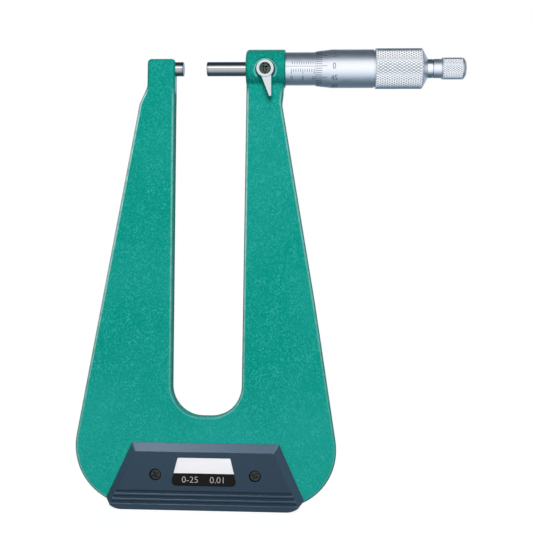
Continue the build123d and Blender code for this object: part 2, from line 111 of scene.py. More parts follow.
class Paint:
    """A material with its node tree, in millimetres of the object's own space."""

    def __init__(self, name):
        self.material = bpy.data.materials.new(name)
        self.material.use_nodes = True
        self.tree = self.material.node_tree
        self.shader = self.tree.nodes["Principled BSDF"]
        coords = self.add("ShaderNodeTexCoord")
        scaled = {0: coords.outputs["Object"], "Scale": 1 / MM}
        self.mm = self.add("ShaderNodeVectorMath", scaled, operation="SCALE").outputs[0]
        self.grain = self.add("ShaderNodeMapping", {"Vector": self.mm, "Rotation": GRAIN_TURN}).outputs[0]
        self.facing = coords.outputs["Normal"]

    def add(self, kind, inputs=None, **settings):
        return add_node(self.tree, kind, inputs, **settings)

    def set(self, **inputs):
        """Sets the shader's inputs. An underscore stands for a space in an input's name."""
        for key, value in inputs.items():
            socket = self.shader.inputs[key.replace("_", " ")]
            if isinstance(value, bpy.types.NodeSocket):
                self.tree.links.new(value, socket)
            else:
                socket.default_value = value

    def math(self, operation, first, second=0.0):
        return self.add("ShaderNodeMath", {0: first, 1: second}, operation=operation).outputs[0]

    def times(self, first, second):
        return self.math("MULTIPLY", first, second)

    def axes(self, vector):
        return self.add("ShaderNodeSeparateXYZ", {0: vector}).outputs

    def reach(self, vector, kept_axes):
        """A vector's length along the axes that are kept, which are 1 and the others 0."""
        kept = self.add("ShaderNodeVectorMath", {0: vector, 1: kept_axes}, operation="MULTIPLY")
        return self.add("ShaderNodeVectorMath", {0: kept.outputs[0]}, operation="LENGTH").outputs["Value"]

    def noise(self, per_mm, detail=2.0, vector=None):
        """Noise with this many bumps to the millimetre."""
        values = {"Vector": vector or self.grain, "Scale": per_mm, "Detail": detail}
        return self.add("ShaderNodeTexNoise", values).outputs[0]

    def cells(self, per_mm, smoothness, vector):
        """Soft cells, this many to the millimetre."""
        values = {"Vector": vector, "Scale": per_mm, "Smoothness": smoothness}
        return self.add("ShaderNodeTexVoronoi", values, feature="SMOOTH_F1").outputs

    def remap(self, value, span, to=(0.0, 1.0)):
        """Takes one span to another, and no further than its ends."""
        values = {0: value, 1: span[0], 2: span[1], 3: to[0], 4: to[1]}
        return self.add("ShaderNodeMapRange", values).outputs[0]

    def between(self, factor, first, second):
        """A number that goes from the first to the second."""
        return self.remap(factor, (0.0, 1.0), (first, second))

    def varied(self, value, share, noise):
        """A number that a noise takes this share of itself down and up."""
        return self.remap(noise, NOISE_SPAN, (value * (1 - share), value * (1 + share)))

    def mix(self, factor, first, second):
        """One colour turning into another."""
        node = self.add("ShaderNodeMix", data_type="RGBA")
        self.tree.links.new(factor, node.inputs["Factor"])
        for key, value in (("A", first), ("B", second)):
            socket = [s for s in node.inputs if s.name == key and s.type == "RGBA"][0]
            if isinstance(value, bpy.types.NodeSocket):
                self.tree.links.new(value, socket)
            else:
                socket.default_value = (*value, 1.0)
        return [s for s in node.outputs if s.type == "RGBA"][0]

    def bump(self, height, depth_mm, strength=1.0, normal=None):
        values = {"Height": height, "Distance": depth_mm * MM, "Strength": strength}
        if normal:
            values["Normal"] = normal
        return self.add("ShaderNodeBump", values).outputs[0]


def srgb(red, green, blue):
    """A colour as seen on screen, 0 to 255, in linear light."""
    def linear(value):
        value /= 255
        return value / 12.92 if value <= 0.04045 else ((value + 0.055) / 1.055) ** 2.4
    return tuple(linear(value) for value in (red, green, blue))


def dimmed(colour, share):
    return tuple(value * share for value in colour)


# Enamel: its colours
DEEP_GREEN = srgb(0, 139, 119)
MAIN_GREEN = srgb(0, 145, 126)
SPECK_GREEN = srgb(52, 172, 163)
# Paler green of the random clouds and of the painted sheen towards the foot
CLOUD_AND_SHEEN_GREEN = srgb(44, 168, 157)
# Painted highlight on the rounded edges and the boss's ends
EDGE_HIGHLIGHT_GREEN = srgb(168, 215, 209)
# Painted highlight on the seat's rim, and the seat's bare steel darkened with painted shade
RIM_HIGHLIGHT_GREEN = srgb(84, 176, 160)
SHADED_SEAT_GREY = srgb(40, 62, 68)
GLOSS_TINT = srgb(0, 205, 255)

# Enamel: its grains, as bumps to the millimetre, and what their values from 0 to 1 do
DIMPLES_PER_MM, DIMPLE_SMOOTHNESS = 0.6, 0.7
SPECKS_PER_MM, SPECK_SMOOTHNESS = 2.0, 0.5
PATCHES_PER_MM = 0.2
CLOUDS_PER_MM = 0.03
HIGHLIGHT_BREAKUP_PER_MM = 0.35
MAIN_CHANCE = (0.15, 0.5)
SPECK_CHANCE = (0.52, 0.9)
PATCH_SPAN = (0.35, 0.65)
PATCH_SPECKS = (0.3, 0.9)
CLOUD_SPAN = (0.45, 1.05)
CLOUD_STRENGTH = 0.42
FOOT_SHEEN = 0.3
HIGHLIGHT_BREAKUP_SPAN = (0.3, 0.6)
HIGHLIGHT_BREAKUP_STRENGTH = (0.55, 1.0)
ROUGH_CHANCE = (0.2, 0.8)
PAINT_ROUGHNESS = (0.26, 0.36)
WALL_ROUGHNESS = 0.8
WALL_COAT = 0.05

# Enamel: its places in millimetres. Across a pair of values, one thing fades into the next
FOOT_HEIGHT = (-165.0, -125.0)
ARM_TOP = (-9.0, -12.0)
BOSS_BOTTOM = (-8.5, -7.0)
BOSS_FRONT = (-6.9, -6.8)
BOSS_LENGTH = 17.4
BOSS_EDGE = (0.4, 0.9)
BOSS_CLEAR = (2.0, 1.0)
BOSS_STRENGTH = 0.6
PLATE_HALF = 4.0
WALL_DEPTH = (0.9, 1.6)
SEAT_R = 5.25
SEAT_RIM = (0.9, 0.7)
SEAT_BLUR = 0.05

# The boss's two ends, in millimetres
boss_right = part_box("frame")[1].x / MM
boss_left = boss_right - BOSS_LENGTH

# Enamel: the painted highlight along an edge comes and goes at these depths, in millimetres below the
# plate's face. It is wide on the left arm's left side, and strong on both arms' left sides, as if lit from
# the left
NARROW_RISE, WIDE_RISE = (0.03, 0.14), (0.001, 0.035)
NARROW_FALL, WIDE_FALL = (0.35, 0.65), (1.1, 1.6)
LEFT_FACING = (-0.2, 0.0)
LEFT_ARM = (0.0, 2.0)
RIGHT_STRENGTH = 0.55
EDGE_FADE = (-160.0, -70.0)
FOOT_STRENGTH = 0.4


def hammered_green(paint, chance, height):
    """Deep green with paler specks, in patches, and paler clouds, with a painted sheen that grows towards
    the foot.
    """
    deep = paint.mix(paint.remap(chance, MAIN_CHANCE), DEEP_GREEN, MAIN_GREEN)
    patches = paint.remap(paint.noise(PATCHES_PER_MM), PATCH_SPAN, PATCH_SPECKS)
    speckle = paint.times(paint.remap(chance, SPECK_CHANCE), patches)
    # Painted sheen: the enamel turns paler towards the foot, added to the random clouds
    foot = paint.remap(height, FOOT_HEIGHT, (FOOT_SHEEN, 0.0))
    clouds = paint.math("ADD", paint.noise(CLOUDS_PER_MM, detail=1.0), foot)
    specked = paint.mix(speckle, deep, SPECK_GREEN)
    return paint.mix(paint.remap(clouds, CLOUD_SPAN, (0.0, CLOUD_STRENGTH)), specked, CLOUD_AND_SHEEN_GREEN)


def pale_edges(paint, place, depth):
    """Painted highlight along the arms' rounded edges and at the boss's two ends, stronger and wider on
    left-facing edges as if lit from the left, and weaker towards the foot.
    """
    x, height = place[0], place[2]
    left = paint.remap(paint.axes(paint.facing)[0], LEFT_FACING, (1.0, 0.0))
    wide = paint.times(left, paint.remap(x, LEFT_ARM, (1.0, 0.0)))
    rise_span = [paint.between(wide, *ends) for ends in zip(NARROW_RISE, WIDE_RISE)]
    fall_span = [paint.between(wide, *ends) for ends in zip(NARROW_FALL, WIDE_FALL)]
    strength = paint.between(left, RIGHT_STRENGTH, 1.0)
    rounded = paint.times(paint.remap(depth, rise_span), paint.remap(depth, fall_span, (strength, 0.0)))
    arms = paint.times(rounded, paint.remap(height, ARM_TOP))
    near, far = BOSS_EDGE
    right_end = paint.remap(x, (boss_right - far, boss_right - near), (0.0, BOSS_STRENGTH))
    left_end = paint.times(
        paint.remap(x, (boss_left + near, boss_left + far), (BOSS_STRENGTH, 0.0)),
        paint.remap(x, [boss_left - clear for clear in BOSS_CLEAR]),
    )
    boss = paint.times(paint.math("ADD", right_end, left_end), paint.remap(height, BOSS_BOTTOM))
    edges = paint.math("MAXIMUM", arms, boss)
    faded = paint.times(edges, paint.remap(height, EDGE_FADE, (FOOT_STRENGTH, 1.0)))
    # A noise breaks up the painted highlight
    return paint.times(faded, paint.remap(paint.noise(HIGHLIGHT_BREAKUP_PER_MM), HIGHLIGHT_BREAKUP_SPAN, HIGHLIGHT_BREAKUP_STRENGTH))


def clamp_seat(paint, place, colour):
    """Bares the flat seat under the clamp's lever as steel darkened with painted shade, inside a rim with a
    painted highlight.
    """
    away = paint.add("ShaderNodeVectorMath", {0: paint.mm, 1: clamp_centre / MM}, operation="SUBTRACT")
    reach = paint.reach(away.outputs[0], (1, 0, 1))
    front = paint.remap(place[1], BOSS_FRONT, (1.0, 0.0))
    rim = paint.times(paint.remap(reach, (SEAT_R, SEAT_R + SEAT_BLUR), (1.0, 0.0)), front)
    seat = paint.times(paint.remap(reach, [SEAT_R - rim_width for rim_width in SEAT_RIM], (1.0, 0.0)), front)
    return paint.mix(seat, paint.mix(rim, colour, RIM_HIGHLIGHT_GREEN), SHADED_SEAT_GREY)


def enamel():
    """Green hammered enamel under a clear gloss, with painted highlights on its edges and round the clamp's
    seat, painted shade on the seat, a painted sheen towards the foot, and duller walls.
    """
    paint = Paint("enamel")
    dimples = paint.cells(DIMPLES_PER_MM, DIMPLE_SMOOTHNESS, paint.mm)["Distance"]
    specks = paint.cells(SPECKS_PER_MM, SPECK_SMOOTHNESS, paint.grain)["Color"]
    chance = paint.add("ShaderNodeSeparateColor", {0: specks}).outputs[0]
    place = paint.axes(paint.mm)
    depth = paint.math("SUBTRACT", PLATE_HALF, paint.math("ABSOLUTE", place[1]))
    walls = paint.times(paint.remap(depth, WALL_DEPTH), paint.remap(place[2], ARM_TOP))
    painted = hammered_green(paint, chance, place[2])
    # The painted edge highlight mixed into the enamel's colour
    edged = paint.mix(pale_edges(paint, place, depth), painted, EDGE_HIGHLIGHT_GREEN)
    fine = paint.bump(chance, depth_mm=0.05, strength=0.4)
    bumps = paint.bump(dimples, depth_mm=0.16, strength=0.5, normal=fine)
    speck_roughness = paint.remap(chance, ROUGH_CHANCE, PAINT_ROUGHNESS)
    paint.set(
        Base_Color=clamp_seat(paint, place, edged),
        Roughness=paint.math("MAXIMUM", speck_roughness, paint.between(walls, 0.0, WALL_ROUGHNESS)),
        Specular_Tint=(*GLOSS_TINT, 1.0),
        IOR=1.5,
        Normal=bumps,
        Coat_Weight=paint.between(walls, 1.0, WALL_COAT),
        Coat_IOR=1.12,
        Coat_Roughness=0.16,
        Coat_Normal=bumps,
    )
    return paint.material


# A knurl's groove gets painted shade, darkest at its floor. The shade starts this far below it, in
# millimetres
GROOVE_START = (0.06, 0.02)
GROOVE_SHADE = 0.5


def chrome(name, colour, roughness, grain, grooves=None):
    """Chrome plating over turned steel; the grain is how rough its satin finish is. Painted shade
    darkens a knurl's grooves, between these two radii in millimetres."""
    paint = Paint(name)
    fine = paint.noise(per_mm=9.0, detail=3.0)
    cloud = paint.noise(per_mm=0.35)
    plated = paint.mix(cloud, dimmed(colour, share=0.96), colour)
    if grooves:
        # Painted shade in the knurl's grooves
        radius = paint.reach(paint.mm, (0, 1, 1))
        start = [grooves[0] - below for below in GROOVE_START]
        sunk = paint.times(paint.remap(radius, start), paint.remap(radius, grooves, (1.0, 0.0)))
        plated = paint.mix(sunk, plated, dimmed(colour, GROOVE_SHADE))
    paint.set(
        Base_Color=plated,
        Metallic=1.0,
        Roughness=paint.varied(roughness, share=0.08, noise=cloud),
        Normal=paint.bump(fine, depth_mm=0.01, strength=grain),
    )
    return paint.material


def steel(name, colour, roughness, lines_per_mm):
    """Ground or turned steel, with fine rings round the measuring axis."""
    paint = Paint(name)
    along = paint.add("ShaderNodeCombineXYZ", {0: paint.axes(paint.mm)[0]}).outputs[0]
    rings = paint.noise(lines_per_mm, vector=along)
    paint.set(
        Base_Color=paint.mix(rings, dimmed(colour, share=0.9), colour),
        Metallic=1.0,
        Roughness=paint.varied(roughness, share=0.2, noise=rings),
        Normal=paint.bump(rings, depth_mm=0.004, strength=0.6),
    )
    return paint.material


def plastic(name, colour, roughness, grain_mm, shine=0.5):
    """Moulded plastic with a fine spark-eroded grain."""
    paint = Paint(name)
    grain = paint.noise(per_mm=1 / grain_mm, detail=3.0)
    cloud = paint.noise(per_mm=0.12)
    paint.set(
        Base_Color=paint.mix(cloud, dimmed(colour, share=0.93), colour),
        Roughness=paint.varied(roughness, share=0.1, noise=grain),
        Specular_IOR_Level=shine,
        Normal=paint.bump(grain, depth_mm=0.03, strength=0.35),
    )
    return paint.material


BLOTCH_SPAN = (0.38, 0.62)
BLOTCH_ROUGHNESS = 0.15


def black_oxide(name, low, high, roughness, metallic):
    """Blackened steel, mottled by noise between a low and a high colour. A light olive high colour stands in
    as painted glints.
    """
    paint = Paint(name)
    blotch = paint.noise(per_mm=1.4, detail=3.0)
    paint.set(
        Base_Color=paint.mix(paint.remap(blotch, BLOTCH_SPAN), low, high),
        Metallic=metallic,
        Roughness=paint.remap(blotch, NOISE_SPAN, (roughness, roughness + BLOTCH_ROUGHNESS)),
        Normal=paint.bump(blotch, depth_mm=0.02, strength=0.4),
    )
    return paint.material


def ink(name, colour):
    """Paint that fills an engraved line."""
    paint = Paint(name)
    paint.set(
        Base_Color=paint.mix(paint.noise(per_mm=5.0), dimmed(colour, share=0.8), colour),
        Roughness=0.55,
        Specular_IOR_Level=0.3,
    )
    return paint.material


materials = {
    "enamel": enamel(),
    "satin_chrome": chrome("satin_chrome", srgb(226, 229, 235), roughness=0.43, grain=0.25),
    "polished_chrome": chrome("polished_chrome", srgb(190, 198, 201), roughness=0.22, grain=0.08),
    "ground_steel": steel("ground_steel", srgb(166, 165, 166), roughness=0.13, lines_per_mm=30.0),
    "machined_steel": steel("machined_steel", srgb(180, 180, 183), roughness=0.3, lines_per_mm=8.0),
    "carbide": steel("carbide", srgb(150, 150, 156), roughness=0.12, lines_per_mm=25.0),
    "cover_plastic": plastic("cover_plastic", srgb(33, 49, 63), roughness=0.55, grain_mm=0.2, shine=0.22),
    "black_screws": black_oxide(
        "black_screws", srgb(18, 20, 22), srgb(40, 42, 42), roughness=0.35, metallic=0.3
    ),
}
knurled_chrome = chrome("knurled_chrome", srgb(244, 246, 249), 0.24, 0.08, grooves=(8.64, 8.77))
knurled_cap = chrome("knurled_cap", srgb(246, 248, 251), 0.24, 0.08, grooves=(4.58, 4.67))
turned_chrome = chrome("turned_chrome", srgb(226, 229, 234), roughness=0.25, grain=0.15)
# The lever's screw: its light olive high colour is a painted glint
olive_glint_black = black_oxide("olive_glint_black", srgb(3, 6, 5), srgb(84, 96, 89), roughness=0.22, metallic=0.9)
engraving = ink("engraving_ink", srgb(56, 60, 68))
figure_ink = ink("figure_ink", srgb(104, 109, 117))
label_white = plastic("label_white", srgb(246, 246, 250), roughness=0.3, grain_mm=0.5)
label_black = plastic("label_black", srgb(10, 8, 8), roughness=0.4, grain_mm=0.5, shine=0.12)
label_ink = ink("label_ink", srgb(196, 192, 190))


# Mesh helpers
SHARP_ANGLE = math.radians(30)


def piece_from(bm, name, body, slot, material, replaced=(), second=None):
    """A finished piece of the scene, from a bmesh. Some of its faces may take a second material."""
    bmesh.ops.recalc_face_normals(bm, faces=bm.faces)
    mesh = bpy.data.meshes.new(name)
    bm.to_mesh(mesh)
    bm.free()
    mesh.shade_smooth()
    mesh.set_sharp_from_angle(angle=SHARP_ANGLE)
    piece = bpy.data.objects.new(name, mesh)
    bpy.context.scene.collection.objects.link(piece)
    mesh.materials.append(material)
    if second:
        mesh.materials.append(second)
    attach(piece, body)
    if replaced:
        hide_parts(*replaced)


def join_rings(bm, first, second):
    for i in range(len(first)):
        j = (i + 1) % len(first)
        bm.faces.new((first[i], first[j], second[j], second[i]))


def lathe(bm, profile, segments, start, end):
    """Turns an (x, radius) profile in metres, and joins it to a start and an end ring."""
    rings = [
        [bm.verts.new(at(x, radius, math.tau * i / segments)) for i in range(segments)]
        for x, radius in profile
    ]
    rings = [start, *rings, end]
    for first, second in zip(rings, rings[1:]):
        join_rings(bm, first, second)


def knurl(bm, x_span, radius, depth, around, rows, splits, flat):
    """Diamond knurling as blunt four-sided points. Returns its two end rings."""
    step_x = (x_span[1] - x_span[0]) / rows
    step_a = math.pi / around
    valley = radius - depth

    def place(column, half_step):
        return at(x_span[0] + column * step_x, valley, half_step * step_a)

    corners = [
        [bm.verts.new(place(column, 2 * i + column % 2)) for i in range(around)]
        for column in range(rows + 1)
    ]

    def corner(column, half_step):
        return corners[column][(half_step - column % 2) // 2 % around]

    def crown_over(base, centre):
        """The flat top of a blunt point, whose foot is the base outline."""
        crown = []
        for vert in base:
            spot = centre.lerp(vert.co, flat)
            stretch = radius / math.hypot(spot.y, spot.z)
            crown.append(bm.verts.new((spot.x, spot.y * stretch, spot.z * stretch)))
        return crown

    for column in range(1, rows):
        for i in range(around):
            middle = 2 * i + (column + 1) % 2
            base = [
                corner(column - 1, middle),
                corner(column, middle + 1),
                corner(column + 1, middle),
                corner(column, middle - 1),
            ]
            crown = crown_over(base, place(column, middle))
            face = bm.faces.new(crown)
            face.material_index = 1
            for a in range(4):
                b = (a + 1) % 4
                face = bm.faces.new((base[a], base[b], crown[b], crown[a]))
                face.material_index = 1
    ends = []
    for column, inner in ((0, 1), (rows, rows - 1)):
        edge_ring = []
        for i in range(around):
            low = corner(column, 2 * i)
            high = corner(column, 2 * i + 2)
            between = [bm.verts.new(place(column, 2 * i + 2 * k / splits)) for k in range(1, splits)]
            tip = corner(inner, 2 * i + 1)
            centre = place(column + (inner - column) / 3, 2 * i + 1)
            crown = crown_over([low, high, tip], centre)
            bm.faces.new(crown)
            bm.faces.new((low, *between, high, crown[1], crown[0]))
            bm.faces.new((high, tip, crown[2], crown[1]))
            bm.faces.new((tip, low, crown[0], crown[2]))
            edge_ring += [low, *between]
        ends.append(edge_ring)
    return ends


def wrapped(bm, flat, place, thickness, row_height, paint_index=0):
    """Bends a flat bmesh onto a surface as a closed skin. place(u, v, w) gives the point."""
    low = min(vert.co.y for vert in flat.verts)
    high = max(vert.co.y for vert in flat.verts)
    for k in range(1, max(1, math.ceil((high - low) / row_height))):
        cut = flat.verts[:] + flat.edges[:] + flat.faces[:]
        spot = (0, low + k * row_height, 0)
        bmesh.ops.bisect_plane(flat, geom=cut, plane_co=spot, plane_no=(0, 1, 0))
    bmesh.ops.solidify(flat, geom=flat.faces[:], thickness=thickness)
    index = {vert: bm.verts.new(place(*vert.co)) for vert in flat.verts}
    for face in flat.faces:
        bm.faces.new([index[vert] for vert in face.verts]).material_index = paint_index
    flat.free()


def flat_bar(u_span, v_span):
    flat = bmesh.new()
    u0, u1 = u_span
    v0, v1 = v_span
    flat.faces.new([flat.verts.new((u, v, 0)) for u, v in ((u0, v0), (u1, v0), (u1, v1), (u0, v1))])
    return flat


FONT_CURVE_STEPS = 4
FONT_WELD = 1e-4


def flat_text(text, height, squeeze, weight=0.0):
    """Plain figures in the built-in font, centred, with this height."""
    curve = bpy.data.curves.new("figures", "FONT")
    curve.body = text
    curve.align_x = "CENTER"
    curve.resolution_u = FONT_CURVE_STEPS
    curve.offset = weight
    holder = bpy.data.objects.new("figures", curve)
    bpy.context.scene.collection.objects.link(holder)
    bpy.context.view_layer.update()
    mesh = bpy.data.meshes.new_from_object(holder)
    flat = bmesh.new()
    flat.from_mesh(mesh)
    bpy.data.objects.remove(holder)
    bpy.data.curves.remove(curve)
    bpy.data.meshes.remove(mesh)
    bmesh.ops.remove_doubles(flat, verts=flat.verts, dist=FONT_WELD)
    low = min(vert.co.y for vert in flat.verts)
    high = max(vert.co.y for vert in flat.verts)
    scale = height / (high - low)
    for vert in flat.verts:
        vert.co = Vector((vert.co.x * scale * squeeze, (vert.co.y - (low + high) / 2) * scale, 0))
    return flat


# A turned edge is broken by this much
LIP = 0.05 * MM
# Gap between a knurl's end ring and the turned profile that joins it
SEAM = 0.02 * MM

# Thimble. The shoulder's points are how far past the grip and how far below its points
KNURL_AROUND = 44
KNURL_ROWS = 20
KNURL_SPLITS = 4
KNURL_DEPTH = 0.24 * MM
KNURL_FLAT = 0.48
KNURL_MARGIN = 0.05 * MM
GRIP_SHOULDER = ((0.12, 0.35), (0.62, 1.2))
GROOVE_LEN = 0.7 * MM
GROOVE_SLOPE = 0.03 * MM
GROOVE_END = 0.08 * MM
GROOVE_R = 8.03 * MM
BARREL_R = 8.43 * MM
BEVEL_LEN = 6.9 * MM
BEVEL_BLEND = 0.15 * MM
LIP_R = 7.58 * MM
BORE_R = 7.43 * MM
WALL_X = 98.5 * MM
TAPER_WIDE_R = 3.45 * MM
TAPER_NARROW_R = 3.05 * MM
RECESS_R = 3.9 * MM
RECESS_DEPTH = 1.9 * MM
BACK_R = 4.5 * MM
GRIP_TOLERANCE = 0.01 * MM


def grip_ends(mesh, radius):
    """Lowest and highest X at which a CAD node reaches this radius."""
    found = [v.co.x for v in mesh.vertices if math.hypot(v.co.y, v.co.z) > radius]
    return min(found), max(found)


def thimble():
    bm = bmesh.new()
    grip_r = thimble_high.z
    grip_low, grip_high = grip_ends(nodes["thimble"].data, grip_r - GRIP_TOLERANCE)
    band = (grip_low + KNURL_MARGIN, grip_high - KNURL_MARGIN)
    left, right = knurl(bm, band, grip_r, KNURL_DEPTH, KNURL_AROUND, KNURL_ROWS, KNURL_SPLITS, KNURL_FLAT)
    valley = grip_r - KNURL_DEPTH
    x0, x1 = thimble_low.x, thimble_high.x
    groove_x = grip_low - GROOVE_LEN
    bevel_x = x0 + BEVEL_LEN
    profile = [
        (grip_high + SEAM, valley),
        *((grip_high + past * MM, grip_r - below * MM) for past, below in GRIP_SHOULDER),
        (x1, BACK_R),
        (x1, RECESS_R),
        (x1 - RECESS_DEPTH, RECESS_R),
        (x1 - RECESS_DEPTH, TAPER_NARROW_R),
        (WALL_X, TAPER_WIDE_R),
        (WALL_X, BORE_R),
        (x0 + LIP, BORE_R),
        (x0, BORE_R + LIP),
        (x0, LIP_R - LIP),
        (x0 + LIP, LIP_R),
        (bevel_x - BEVEL_BLEND, BARREL_R - SEAM),
        (bevel_x + BEVEL_BLEND, BARREL_R),
        (groove_x - LIP, BARREL_R),
        (groove_x, BARREL_R - LIP),
        (groove_x + GROOVE_SLOPE, GROOVE_R),
        (grip_low - GROOVE_END, GROOVE_R),
        (grip_low - LIP, valley - LIP),
        (grip_low - SEAM, valley),
    ]
    lathe(bm, profile, KNURL_AROUND * KNURL_SPLITS, start=right, end=left)
    chromes = (materials["satin_chrome"], ["thimble"], knurled_chrome)
    piece_from(bm, "thimble_knurled", "spindle", "satin_chrome", *chromes)


# Ratchet cap. The crown's points are how far before the cap's end and how far below the grip.
# The neck's and the shoulder's are how far past the neck's start or end and how far below
CAP_AROUND = 30
CAP_ROWS = 12
CAP_SPLITS = 3
CAP_DEPTH = 0.18 * MM
CAP_FLAT = 0.5
CAP_GRIP_START = 4.1 * MM
CAP_GRIP_END = 1.45 * MM
CAP_CROWN = ((1.3, 0.03), (1.0, 0.18), (0.75, 0.45), (0.5, 0.82), (0.3, 1.22), (0.1, 1.52), (0.0, 1.65))
CAP_RECESS_R = 2.9 * MM
CAP_RECESS_DEPTH = 1.4 * MM
CAP_HOLE_R = 1.25 * MM
CAP_WALL_END = 2.7 * MM
CAP_BORE_R = 3.4 * MM
CAP_NECK_R = 4.2 * MM
CAP_NECK_LEN = 3.5 * MM
CAP_NECK_BREAK = ((0.0, 0.15), (0.05, 0.04), (0.15, 0.0))
CAP_SHOULDER = ((0.3, 0.12), (0.45, 0.0))


def ratchet_cap():
    bm = bmesh.new()
    x0, x1 = cap_low.x, cap_high.x
    grip_r = cap_high.z
    band = (x0 + CAP_GRIP_START, x1 - CAP_GRIP_END)
    left, right = knurl(bm, band, grip_r, CAP_DEPTH, CAP_AROUND, CAP_ROWS, CAP_SPLITS, CAP_FLAT)
    valley = grip_r - CAP_DEPTH
    profile = [
        (x1 - CAP_GRIP_END + LIP, valley),
        *((x1 - before * MM, grip_r - below * MM) for before, below in CAP_CROWN),
        (x1, CAP_RECESS_R + LIP),
        (x1 - LIP, CAP_RECESS_R),
        (x1 - CAP_RECESS_DEPTH, CAP_RECESS_R),
        (x1 - CAP_RECESS_DEPTH, CAP_HOLE_R),
        (x1 - CAP_WALL_END, CAP_HOLE_R),
        (x1 - CAP_WALL_END, CAP_BORE_R),
        (x0, CAP_BORE_R),
        *((x0 + past * MM, CAP_NECK_R - below * MM) for past, below in CAP_NECK_BREAK),
        (x0 + CAP_NECK_LEN, CAP_NECK_R),
        *((x0 + CAP_NECK_LEN + past * MM, grip_r - below * MM) for past, below in CAP_SHOULDER),
        (x0 + CAP_GRIP_START - LIP, valley),
    ]
    lathe(bm, profile, CAP_AROUND * CAP_SPLITS, start=right, end=left)
    chromes = (materials["satin_chrome"], ["ratchet_cap"], knurled_cap)
    piece_from(bm, "cap_knurled", "ratchet", "satin_chrome", *chromes)


thimble()
ratchet_cap()

# Scales. A mark stands this far above its surface and is this thick
MARK_RISE = 0.012 * MM
MARK_THICK = 0.03 * MM
MARK_ROW = 0.35 * MM
TICK_W = 0.2 * MM
DATUM_W = 0.14 * MM
SCALE_MM = 25
DIVISIONS = 50
FIGURE_EVERY = 5

# Sleeve's scale: how far above the datum line its marks and figures lie. The line itself runs
# on past its last mark by so many millimetres
DATUM_PAST_SCALE = 1.2
WHOLE_MARK = (-2.45 * MM, -1.1 * MM)
FIFTH_MARK = (-3.4 * MM, -1.1 * MM)
HALF_MARK = (0.85 * MM, 2.15 * MM)
SLEEVE_FIGURE_Z = -5.2 * MM
SLEEVE_FIGURE_H = 2.1 * MM
SLEEVE_SQUEEZE = 0.8

# Thimble's scale: how far from its edge the marks end and the figures lie
SCALE_MARGIN = 0.2 * MM
SHORT_MARK = 3.0 * MM
LONG_MARK = 5.2 * MM
THIMBLE_FIGURE_X = 8.35 * MM
THIMBLE_FIGURE_H = 2.7 * MM
THIMBLE_SQUEEZE = 0.78


def sleeve_scale():
    """Datum line, whole millimetres below it and half millimetres above it, with figures."""
    bm = bmesh.new()
    radius = sleeve_high.z

    def place(u, v, w):
        return at(u, radius + MARK_RISE + w, DATUM_ANGLE + v / radius)

    def line(u_span, v_span):
        wrapped(bm, flat_bar(u_span, v_span), place, MARK_THICK, MARK_ROW)

    def tick(x, v_span):
        line((x - TICK_W / 2, x + TICK_W / 2), v_span)

    line_end = zero_mark_x + (SCALE_MM + DATUM_PAST_SCALE) * MM
    line((sleeve_low.x + SCALE_MARGIN, line_end), (-DATUM_W / 2, DATUM_W / 2))
    for mark in range(SCALE_MM + 1):
        x = zero_mark_x + mark * MM
        tick(x, WHOLE_MARK if mark % FIGURE_EVERY else FIFTH_MARK)
        if mark < SCALE_MM:
            tick(x + 0.5 * MM, HALF_MARK)
        if mark % FIGURE_EVERY == 0:
            flat = flat_text(str(mark), SLEEVE_FIGURE_H, SLEEVE_SQUEEZE)
            for vert in flat.verts:
                vert.co += Vector((x, SLEEVE_FIGURE_Z, 0))
            wrapped(bm, flat, place, MARK_THICK, MARK_ROW, paint_index=1)
    piece_from(bm, "sleeve_scale", "sleeve", "satin_chrome", engraving, second=figure_ink)


def thimble_scale():
    """Fifty divisions on the bevel, and a figure at every fifth on the barrel."""
    bm = bmesh.new()
    x0 = thimble_low.x
    for division in range(DIVISIONS):
        angle = DATUM_ANGLE + math.tau * division / DIVISIONS

        def place(u, v, w):
            radius = LIP_R + (BARREL_R - LIP_R) * min(1, (u - x0) / BEVEL_LEN)
            return at(u, radius + MARK_RISE + w, angle + v / radius)

        length = SHORT_MARK if division % FIGURE_EVERY else LONG_MARK
        bar = flat_bar((x0 + SCALE_MARGIN, x0 + length), (-TICK_W / 2, TICK_W / 2))
        wrapped(bm, bar, place, MARK_THICK, MARK_ROW)
        if division % FIGURE_EVERY == 0:
            flat = flat_text(str(division), THIMBLE_FIGURE_H, THIMBLE_SQUEEZE)
            for vert in flat.verts:
                vert.co.x += x0 + THIMBLE_FIGURE_X
            wrapped(bm, flat, place, MARK_THICK, MARK_ROW, paint_index=1)
    piece_from(bm, "thimble_scale", "spindle", "satin_chrome", engraving, second=figure_ink)


sleeve_scale()
thimble_scale()

# Screws with cross recesses. A recess has a width, a length and a depth
SCREW_SEGMENTS = 64
DOME_STEPS = 6
HEAD_BREAK = 0.1 * MM
HEAD_CROWN = 0.08 * MM
RECESS_TAPER = 0.6
CUT_ABOVE = 0.3 * MM
SCREW_WELD = 1e-7


def carved(bm, cutter):
    """The first bmesh with the second cut out of it."""
    holders = []
    for shape in (bm, cutter):
        bmesh.ops.recalc_face_normals(shape, faces=shape.faces)
        mesh = bpy.data.meshes.new("blank")
        shape.to_mesh(mesh)
        shape.free()
        holder = bpy.data.objects.new("blank", mesh)
        bpy.context.scene.collection.objects.link(holder)
        holders.append(holder)
    cut = holders[0].modifiers.new("cut", "BOOLEAN")
    cut.object = holders[1]
    cut.operation = "DIFFERENCE"
    cut.solver = "EXACT"
    cut.use_self = True
    bpy.context.view_layer.update()
    graph = bpy.context.evaluated_depsgraph_get()
    result = bmesh.new()
    made = bpy.data.meshes.new_from_object(holders[0].evaluated_get(graph))
    result.from_mesh(made)
    bpy.data.meshes.remove(made)
    for holder in holders:
        mesh = holder.data
        bpy.data.objects.remove(holder)
        bpy.data.meshes.remove(mesh)
    return result


